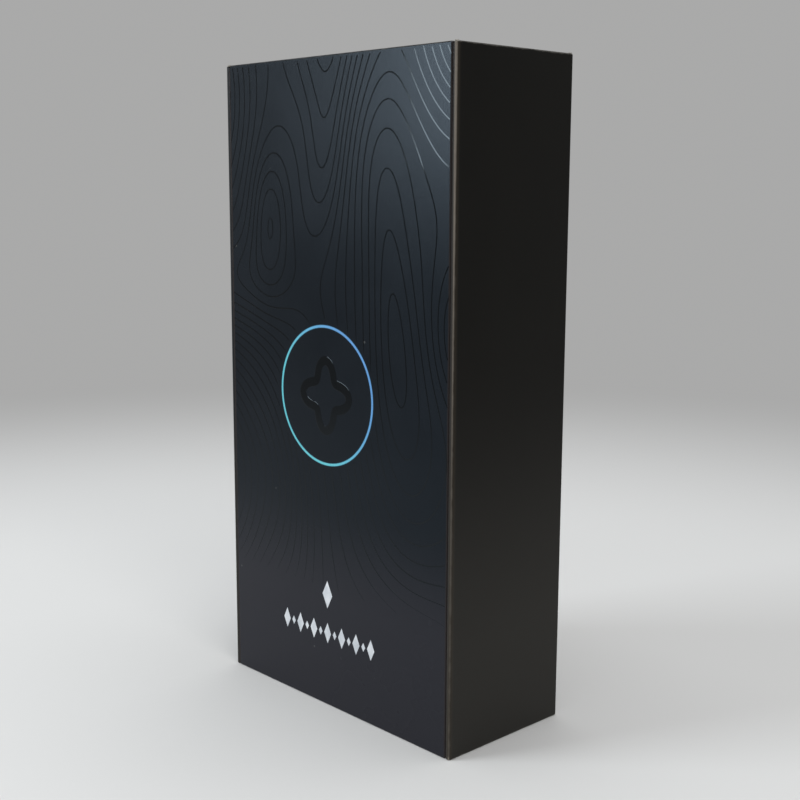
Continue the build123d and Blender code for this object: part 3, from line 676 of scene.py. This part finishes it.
# The ring's ink turns from cyan to blue on a slant, and is thinner and darker at both rims.
ring_ink, tree, shader, place = new_material("ring_ink", (0.1, 0.4, 0.6), 0.3, Specular_IOR_Level=0.25)
grain = use_group(tree, paper_grain, place, Tooth=3800.0, Mottle=220.0)
slant = vector_math(tree, "DOT_PRODUCT", place, (0.9, 0, 0.6))
middle_slant = 0.0515
blue_share = ramp(tree, slant, middle_slant - 0.014, middle_slant + 0.020)
feed(tree, shader["Base Color"], blend_colour(tree, blue_share, (0.110, 0.47, 0.53), (0.105, 0.28, 0.58)))
lay_over(tree, grain["Tone"], (0.02, 0.1, 0.16), 0.12)
from_centre = vector_math(tree, "DISTANCE", place, (ring_centre[0], cover_face, ring_centre[1]))
off_line = calculate(tree, "ABSOLUTE", calculate(tree, "SUBTRACT", from_centre, ring_radius))
lay_over(tree, ramp(tree, off_line, 0.00022, 0.00042), (0.004, 0.04, 0.07))
set_bump(tree, shader, grain["Height"], 0.08, 0.00003)
ring_width = 0.00095
ring_band = printed_band("printed_ring", lambda angle: ring_radius + 0 * angle, ring_width, 192, ring_ink)

# Rosette: a band of gloss varnish whose radius swells four times round.
lobe_radius, lobe_swell, lobe_width = 0.0076, 0.0021, 0.0026
rosette = printed_band(
    "gloss_rosette", lambda angle: lobe_radius + lobe_swell * np.cos(4 * angle), lobe_width, 240, varnish
)

# Foil ornament: a row of lozenges, tall ones between short ones, and a larger one above the row.
foil, _, _ = grained(
    "silver_foil", (0.50, 0.53, 0.57), (0.66, 0.68, 0.71), roughness=0.3, tooth=4200.0, mottle=260.0,
    bump=(0.12, 0.00004), Metallic=0.35,
)


def lozenges(name, middles, half_sizes, material):
    """Low pyramids with cut tops: four foot corners and four top corners for each lozenge.

    The corners lie a half size along X or Z from the lozenge's middle, and those on top 6% less.
    """
    corner = np.array([(1, 0), (0, 1), (-1, 0), (0, -1)])
    reach = corner * half_sizes[:, None, :]
    flat = middles[:, None, :] + np.concatenate([reach, reach * 0.94], 1)
    points = np.zeros((len(flat), 8, 3))
    points[..., 0] = flat[..., 0]
    points[..., 2] = flat[..., 1]
    points[:, :4, 1] = cover_face
    points[:, 4:, 1] = cover_face - varnish_height
    one = np.array([(0, 1, 5, 4), (1, 2, 6, 5), (2, 3, 7, 6), (3, 0, 4, 7), (4, 5, 6, 7)])
    quads = (np.arange(len(flat))[:, None, None] * 8 + one).reshape(-1, 4)
    return surface(name, points, quads.tolist(), material, smooth=False)


row_count = 13
row_up, row_start, row_end, large_up = 0.0215, -0.0205, 0.0160, 0.0328
tall, short, large = (0.0015, 0.0030), (0.0008, 0.0013), (0.0021, 0.0040)
row = [(x, row_up) for x in np.linspace(row_start, row_end, row_count)]
middles = np.array([*row, ((row_start + row_end) / 2, large_up)])
half_sizes = np.array([tall, short] * (row_count // 2) + [tall, large])
ornament = lozenges("foil_ornament", middles, half_sizes, foil)

for printed in (contours, ring_band, rosette, ornament):
    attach(printed, "lid")

# ---------------------------------------------------------------- linings and tray
# Black uncoated paper lines the insides of the cover and the flap and covers the tray, whose rim
# and outer walls show when the cover stands open.
lining, tree, place = grained(
    "lining_paper", (0.016, 0.016, 0.017), (0.021, 0.021, 0.022), roughness=0.8, tooth=2400.0,
    mottle=120.0, bump=(0.45, 0.00008), Specular_IOR_Level=0.25,
)
sprinkle(tree, place, dusty_cells=0.05, colour=(0.2, 0.2, 0.2), share=0.4)
dress(lining, "lid_liner", "flap_liner", "tray_wrap")

# ---------------------------------------------------------------- foam and its face card
# A die-cut block of closed-cell foam fills the tray, with a pocket for the translator, finger
# notches and a well for the lead. A card with a flocked face covers the foam's front.
foam, tree, shader, place = new_material("cut_foam", (0.022, 0.022, 0.023), 0.92, Specular_IOR_Level=0.2)
# Painted shade: the pores' hollows are painted darker, and the cell walls between them paler.
pores = add_node(tree, "ShaderNodeTexVoronoi", {"Vector": place, "Scale": 2300.0}).outputs["Distance"]
foam_tone_and_pore_shade = blend_colour(tree, ramp(tree, pores, 0.1, 0.6), (0.012, 0.012, 0.013), (0.032, 0.032, 0.034))
feed(tree, shader["Base Color"], foam_tone_and_pore_shade)
cell_depth = calculate(tree, "ADD", pores, noise(tree, place, 700.0, 3.0))
set_bump(tree, shader, cell_depth, 0.6, 0.00025)


def opening_radius(angle, distance):
    """Radius at which each ray from the middle leaves a shape, given the shape's signed distance.

    The span from 0 to 200 mm is halved forty times, to the half whose near end is still inside.
    """
    near, far = np.zeros_like(angle), np.full_like(angle, 0.2)
    for _ in range(40):
        middle = (near + far) / 2
        inside = distance(middle * np.cos(angle), middle * np.sin(angle)) < 0
        near, far = np.where(inside, middle, near), np.where(inside, far, middle)
    return near


def rounded_box(x, z, half_x, half_z, radius):
    """Signed distance to a rectangle with rounded corners."""
    side_x, side_z = np.abs(x) - half_x + radius, np.abs(z) - half_z + radius
    outside = np.hypot(np.maximum(side_x, 0), np.maximum(side_z, 0))
    return outside + np.minimum(np.maximum(side_x, side_z), 0) - radius


foam_low, foam_high = (np.array(corner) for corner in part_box("foam_insert"))
front_low, front_high = (np.array(corner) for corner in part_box("front_frame"))
rear_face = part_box("rear_shell")[1][1]

# The pocket follows the translator with a little play, and has room beside its side keys. It goes
# down to the translator's back, and what is cut wider at the mouth stops at a ledge before that.
pocket_play, pocket_corner = 0.0004, 0.0094
pocket_middle = (front_low + front_high) / 2
pocket_half = (front_high - front_low) / 2 + pocket_play
ledge_depth = -0.0085
key_margin, key_depth, key_corner = 0.003, 0.0026, 0.0008
keys_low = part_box("power_key")[0][2] - key_margin - pocket_middle[2]
keys_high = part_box("volume_key")[1][2] + key_margin - pocket_middle[2]

# Round finger notches at the pocket's mid height leave a wall to the foam's sides.
notch_wall = 0.004
notch_radius = foam_high[0] - front_high[0] - notch_wall

# The well for the lead lies under the pocket, and the block is built in two parts, one round each.
well_wall, well_height, well_rise, well_corner, well_floor = 0.008, 0.021, 0.007, 0.003, 0.004
well_half = np.array([(foam_high[0] - foam_low[0]) / 2 - well_wall, 0, well_height / 2])
well_middle = np.array([pocket_middle[0], 0, foam_low[2] + well_rise + well_half[2]])
joint_height = (well_middle[2] + well_half[2] + pocket_middle[2] - pocket_half[2]) / 2
joint_gap = 0.00002


def pocket(x, z):
    """Signed distance to the pocket with its room for the side keys."""
    body = rounded_box(x, z, pocket_half[0], pocket_half[2], pocket_corner)
    from_keys = z - (keys_low + keys_high) / 2
    keys = rounded_box(x - pocket_half[0], from_keys, key_depth, (keys_high - keys_low) / 2, key_corner)
    return np.minimum(body, keys)


def pocket_mouth(x, z):
    """Signed distance to the pocket with the two finger notches, as it is cut at the face."""
    notch = np.hypot(np.abs(x) - pocket_half[0] + pocket_play, z) - notch_radius
    return np.minimum(pocket(x, z), notch)


def well(x, z):
    """Signed distance to the well."""
    return rounded_box(x, z, well_half[0], well_half[2], well_corner)


def foam_block(low, high, middle, mouth, inner, ledge, floor):
    """One cut block: rings round its middle, from the back over the sides and the face to the floor.

    Each ring has a radius at every angle: the block's rectangle outside, and the opening's outline
    inside. A cut wall bows into the foam by 0.25 mm times the sine of pi times its depth share, and
    its lip is rounded by 0.45 mm. Where a ledge is given, the wall stops at the ledge, runs in to
    the inner outline and goes on down to the floor.
    """
    lip, bow, inner_bow, step, hub = 0.00045, 0.00025, 0.0001, 0.00004, 0.004

    # Angles that part the mouth's outline evenly, and those of the block's four corners.
    dense = np.linspace(0, 2 * np.pi, 6001)
    radius = opening_radius(dense, mouth)
    path = np.stack([radius * np.cos(dense), radius * np.sin(dense)], -1)
    run = np.concatenate([[0], np.cumsum(np.linalg.norm(np.diff(path, axis=0), axis=1))])
    even = np.interp(np.linspace(0, run[-1], 421)[:-1], run, dense)
    corner = np.arctan2(
        np.array([low[2], low[2], high[2], high[2]]) - middle[2],
        np.array([low[0], high[0], high[0], low[0]]) - middle[0],
    ) % (2 * np.pi)
    angle = np.sort(np.concatenate([even, corner]))
    cos, sin = np.cos(angle), np.sin(angle)

    # Radius and depth of each ring: the back, the side, the lip, the wall, the ledge and the floor.
    reach_x = np.where(cos > 0, high[0] - middle[0], middle[0] - low[0])
    reach_z = np.where(sin > 0, high[2] - middle[2], middle[2] - low[2])
    edge = np.minimum(reach_x / np.maximum(np.abs(cos), 1e-9), reach_z / np.maximum(np.abs(sin), 1e-9))
    outer = opening_radius(angle, mouth)
    face, wall_top, wall_foot = low[1], low[1] + lip, ledge or floor
    rings = [(hub + 0 * edge, high[1]), (edge, high[1]), (edge, face)]
    for turn in np.linspace(0, math.pi / 2, 6):
        rings.append((outer + lip * (1 - math.sin(turn)), face + lip * (1 - math.cos(turn))))
    for share in np.linspace(0, 1, 13)[1:]:
        rings.append((outer + bow * math.sin(math.pi * share), wall_top + (wall_foot - wall_top) * share))
    if ledge:
        outer = np.minimum(opening_radius(angle, inner), outer - step)
        for share in (0, 0.35, 0.7, 1.0):
            rings.append((outer + inner_bow * math.sin(math.pi * share), ledge + (floor - ledge) * share))
    for share in (0.8, 0.55, 0.3, 0.08):
        rings.append((outer * share, floor))
    radius = np.array([radius for radius, _ in rings])
    depth = np.array([depth for _, depth in rings])[:, None] + 0 * radius
    return np.stack([middle[0] + radius * cos, depth, middle[2] + radius * sin], -1)


upper = foam_block(
    np.array([foam_low[0], foam_low[1], joint_height + joint_gap]), foam_high, pocket_middle, pocket_mouth,
    pocket, ledge_depth, rear_face,
)
lower = foam_block(
    foam_low, np.array([foam_high[0], foam_high[1], joint_height - joint_gap]), well_middle, well,
    well, None, foam_high[1] - well_floor,
)
points, faces, count = [], [], 0
for part in (upper, lower):
    rings, around = part.shape[:2]
    first_ring = count + np.arange(around)
    last_ring = first_ring + (rings - 1) * around
    points.append(part.reshape(-1, 3))
    faces += tube_quads(rings, around, count).tolist()
    faces += [first_ring.tolist(), last_ring[::-1].tolist()]
    count += rings * around
block = surface("foam_block", np.concatenate(points), faces, foam, sharp_over=0.7)
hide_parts("foam_insert")
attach(block, "case")
dress(foam, "foam_insert")

flock, tree, shader, place = new_material(
    "flocked_card", (0.02, 0.02, 0.022), 0.95, Specular_IOR_Level=0.1, Sheen_Weight=0.35,
    Sheen_Roughness=0.4,
)
strokes = ramp(tree, noise(tree, place, 45.0, 3.0), 0.35, 0.65)
feed(tree, shader["Base Color"], blend_colour(tree, strokes, (0.014, 0.014, 0.016), (0.026, 0.026, 0.029)))
set_bump(tree, shader, noise(tree, place, 3400.0, 2.0), 0.7, 0.0002)
dress(flock, "insert_card")

# ---------------------------------------------------------------- translator: shells
# Front frame and rear shell are moulded in dark satin plastic with a fine spark-eroded texture, and screwed
# together. The bevel round the face is polished, and is painted pale and partly metallic as a painted
# highlight.
shell, tree, shader, place = new_material(
    "shell_plastic", (0.035, 0.039, 0.045), 0.45, Specular_IOR_Level=0.5
)
flow = noise(tree, place, 70.0, 2.0)
feed(tree, shader["Base Color"], blend_colour(tree, flow, (0.030, 0.034, 0.040), (0.041, 0.045, 0.052)))

# The bevel is what leans at 45 degrees to the front.
bevel_lean = 0.707
off_bevel = calculate(tree, "ABSOLUTE", calculate(tree, "ADD", facing(tree, place)["Y"], bevel_lean))
# Painted highlight: the bevel is painted pale, and has a lower roughness and partly metallic shading.
polish_and_highlight = ramp(tree, off_bevel, 0.12, 0.04)
lay_over(tree, polish_and_highlight, (0.30, 0.33, 0.37))
feed(tree, shader["Roughness"], calculate(tree, "MULTIPLY_ADD", polish_and_highlight, -0.33, 0.47))
feed(tree, shader["Metallic"], calculate(tree, "MULTIPLY", polish_and_highlight, 0.8))
set_bump(tree, shader, noise(tree, place, 5200.0, 2.0), 0.25, 0.00004)
dress(shell, "front_frame", "rear_shell")

# ---------------------------------------------------------------- translator: screen
# A glass plate is bonded over a dark panel with a black adhesive ring. The panel is switched off.
# The camera and the flash look out through windows of the same glass.
glass, tree, shader, place = new_material(
    "window_glass", (0.92, 0.95, 0.97), 0.02, Transmission_Weight=1.0, IOR=1.5
)
smear = ramp(tree, noise(tree, place, 35.0, 5.0), 0.5, 0.75)
feed(tree, shader["Roughness"], calculate(tree, "MULTIPLY", smear, 0.03))
dress(glass, "front_glass", "camera_window", "flash_window")

adhesive, _, _ = grained(
    "adhesive", (0.0010, 0.0010, 0.0010), (0.0020, 0.0020, 0.0020), roughness=0.6, tooth=1500.0,
    mottle=60.0, Specular_IOR_Level=0.04,
)
dress(adhesive, "screen_adhesive")

panel, tree, shader, place = new_material(
    "display_panel", (0.0020, 0.0023, 0.0030), 0.18, Specular_IOR_Level=0.04
)
pixels = add_node(tree, "ShaderNodeTexBrick", {
    "Vector": place, "Scale": 4000.0, "Color1": (0.0024, 0.0027, 0.0036),
    "Color2": (0.0018, 0.0021, 0.0028), "Mortar": (0.0008, 0.0008, 0.0010),
})
feed(tree, shader["Base Color"], pixels.outputs["Color"])
dress(panel, "display_panel")

# ---------------------------------------------------------------- translator: keys
# Two coloured talk keys under the screen, and a power key and a rocking volume key on the right
# side, all moulded in satin plastic and held by a flange behind the frame.


def key_plastic(name, colour, roughness, *keys):
    """Satin moulded plastic with a fine grain and a slow flow tone, for these keys."""
    made, tree, shader, place = new_material(name, colour, roughness, Coat_Weight=0.15, Coat_Roughness=0.2)
    darker = tuple(0.82 * part for part in colour)
    paler = tuple(1.12 * part for part in colour)
    feed(tree, shader["Base Color"], blend_colour(tree, noise(tree, place, 120.0, 3.0), darker, paler))
    set_bump(tree, shader, noise(tree, place, 4600.0, 2.0), 0.2, 0.00004)
    dress(made, *keys)


key_plastic("blue_key", (0.035, 0.22, 0.50), 0.34, "talk_key_left")
key_plastic("cyan_key", (0.05, 0.42, 0.50), 0.34, "talk_key_right")
key_plastic("side_key", (0.055, 0.060, 0.068), 0.38, "power_key", "volume_key")

# ---------------------------------------------------------------- translator: inside
# Cast chassis, green boards, steel cans, switches and screws, a foil battery pouch, a copper-brown
# antenna film, a black speaker and camera, and a woven mesh behind the grille.
steel_parts = ("shield_cans", "key_switches", "microphones", "usb_socket", "case_screws")
inner_finishes = (
    ("cast_alloy", (0.42, 0.42, 0.43), (0.55, 0.55, 0.56), 0.5, 0.9, ("chassis_plate",)),
    ("solder_mask", (0.010, 0.085, 0.040), (0.018, 0.125, 0.060), 0.35, 0.0, ("main_board", "lower_board")),
    ("bright_steel", (0.50, 0.50, 0.51), (0.62, 0.62, 0.63), 0.32, 1.0, steel_parts),
    ("foil_pouch", (0.30, 0.30, 0.31), (0.42, 0.42, 0.43), 0.4, 0.6, ("battery",)),
    ("antenna_film", (0.26, 0.12, 0.03), (0.36, 0.18, 0.05), 0.3, 0.0, ("antenna_flex",)),
    ("black_moulding", (0.014, 0.014, 0.015), (0.024, 0.024, 0.026), 0.5, 0.0, ("speaker", "camera_module")),
)
for name, low, high, roughness, metal, parts in inner_finishes:
    made, _, _ = grained(
        name, low, high, roughness=roughness, tooth=3200.0, mottle=180.0, bump=(0.15, 0.00005),
        Metallic=metal,
    )
    dress(made, *parts)

mesh_cloth, tree, shader, place = new_material("woven_mesh", (0.03, 0.03, 0.03), 0.7)
threads = add_node(tree, "ShaderNodeTexChecker", {
    "Vector": place, "Scale": 9000.0, "Color1": (0.05, 0.05, 0.05), "Color2": (0.008, 0.008, 0.008),
}).outputs
feed(tree, shader["Base Color"], threads["Color"])
set_bump(tree, shader, threads["Fac"], 0.4, 0.00006)
dress(mesh_cloth, "speaker_mesh")

# ---------------------------------------------------------------- table, lamps and camera
# A wide pale table, on which the case stands on its short end, that fades into a plain backdrop,
# with three square soft boxes: a key on the left, a fill on the right and one overhead.
scene.view_settings.view_transform = "Standard"
backdrop_tone = (0.40, 0.40, 0.398)


def seen_share(tree):
    """1 for rays from the camera, off a mirror or through glass, and 0 for the light on the object."""
    path = tree.nodes.new("ShaderNodeLightPath").outputs
    bounced = calculate(tree, "MAXIMUM", path["Is Glossy Ray"], path["Is Transmission Ray"])
    return calculate(tree, "MAXIMUM", path["Is Camera Ray"], bounced)


# The table is a disc. Its paint gives way to the backdrop's tone from 18 to 60 cm from its middle.
paint, tree, shader, place = new_material("table_paint", (0.72, 0.72, 0.715), 0.75, Specular_IOR_Level=0.15)
cloud = noise(tree, place, 3.0, 2.0)
feed(tree, shader["Base Color"], blend_colour(tree, cloud, (0.705, 0.705, 0.70), (0.735, 0.735, 0.73)))
far = ramp(tree, vector_math(tree, "LENGTH", place), 0.18, 0.60)
shares = calculate(tree, "MULTIPLY", far, seen_share(tree))
glow = add_node(tree, "ShaderNodeEmission", {"Color": backdrop_tone, "Strength": 1.0}).outputs[0]
painted = tree.nodes["Principled BSDF"].outputs[0]
mixed = add_node(tree, "ShaderNodeMixShader", {0: shares, 1: painted, 2: glow}).outputs[0]
feed(tree, tree.nodes["Material Output"].inputs["Surface"], mixed)

reach = np.array([0.05, 0.4, 1.0, 2.0, 4.0, 9.0, 30.0])[:, None]
turn = np.linspace(0, 2 * math.pi, 96, endpoint=False)
points = np.stack([reach * np.cos(turn), reach * np.sin(turn), 0 * reach * turn], -1)
faces = tube_quads(len(reach), len(turn))[:, ::-1].tolist() + [list(range(len(turn)))]
surface("table", points, faces, paint, smooth=False)

world = bpy.data.worlds.new("studio")
scene.world = world
world.use_nodes = True
tree = world.node_tree
light = tree.nodes["Background"]
feed(tree, light.inputs["Color"], (0.86, 0.88, 0.9))
feed(tree, light.inputs["Strength"], 0.34)
wall = add_node(tree, "ShaderNodeBackground", {"Color": backdrop_tone, "Strength": 1.0}).outputs[0]
mixed = add_node(tree, "ShaderNodeMixShader", {0: seen_share(tree), 1: light.outputs[0], 2: wall})
feed(tree, tree.nodes["World Output"].inputs["Surface"], mixed.outputs[0])


def aim(position, target):
    """Turn that points an object's own -Z from a position at a target, with Y kept upright."""
    return Vector((np.array(target) - np.array(position)).tolist()).to_track_quat("-Z", "Y")


def soft_box(name, position, target, size, power, colour):
    """Square lamp of a size in metres and a power in watts, turned to a target."""
    data = bpy.data.lights.new(name, "AREA")
    data.size = size
    data.energy = power
    data.color = colour
    lamp = bpy.data.objects.new(name, data)
    scene.collection.objects.link(lamp)
    lamp.location = position
    lamp.rotation_euler = aim(position, target).to_euler()


soft_box(
    "key_box", (-0.677, -1.067, 0.445), (0.04, -0.02, 0.17), size=0.56, power=13.0, colour=(0.92, 0.97, 1.0)
)
soft_box("fill_box", (1.2, -0.5, 0.9), (0, 0, 0.1), size=0.9, power=7.0, colour=(1.0, 0.98, 0.95))
soft_box("top_box", (0.0, 0.1, 1.6), (0, 0, 0.1), size=1.2, power=12.0, colour=(1, 1, 1))

# The camera looks down a little on the case's right front edge, from 35 cm. Its focal length and
# the width of its frame are given in pixels.
azimuth, elevation, roll = math.radians(46.77), math.radians(9.69), math.radians(0.24)
target, distance = np.array([0.00455, -0.00015, 0.08684]), 0.3522
focal_pixels, frame_pixels = 1250, 800
towards = np.array([
    math.sin(azimuth) * math.cos(elevation),
    -math.cos(azimuth) * math.cos(elevation),
    math.sin(elevation),
])
lens = bpy.data.cameras.new("camera")
lens.sensor_width = 36.0
lens.lens = lens.sensor_width * focal_pixels / frame_pixels
lens.clip_start, lens.clip_end = 0.02, 40
camera = bpy.data.objects.new("camera", lens)
scene.collection.objects.link(camera)
position = target + towards * distance
camera.location = position.tolist()
camera.rotation_mode = "QUATERNION"
camera.rotation_quaternion = aim(position, target) @ Matrix.Rotation(roll, 4, "Z").to_quaternion()
scene.camera = camera
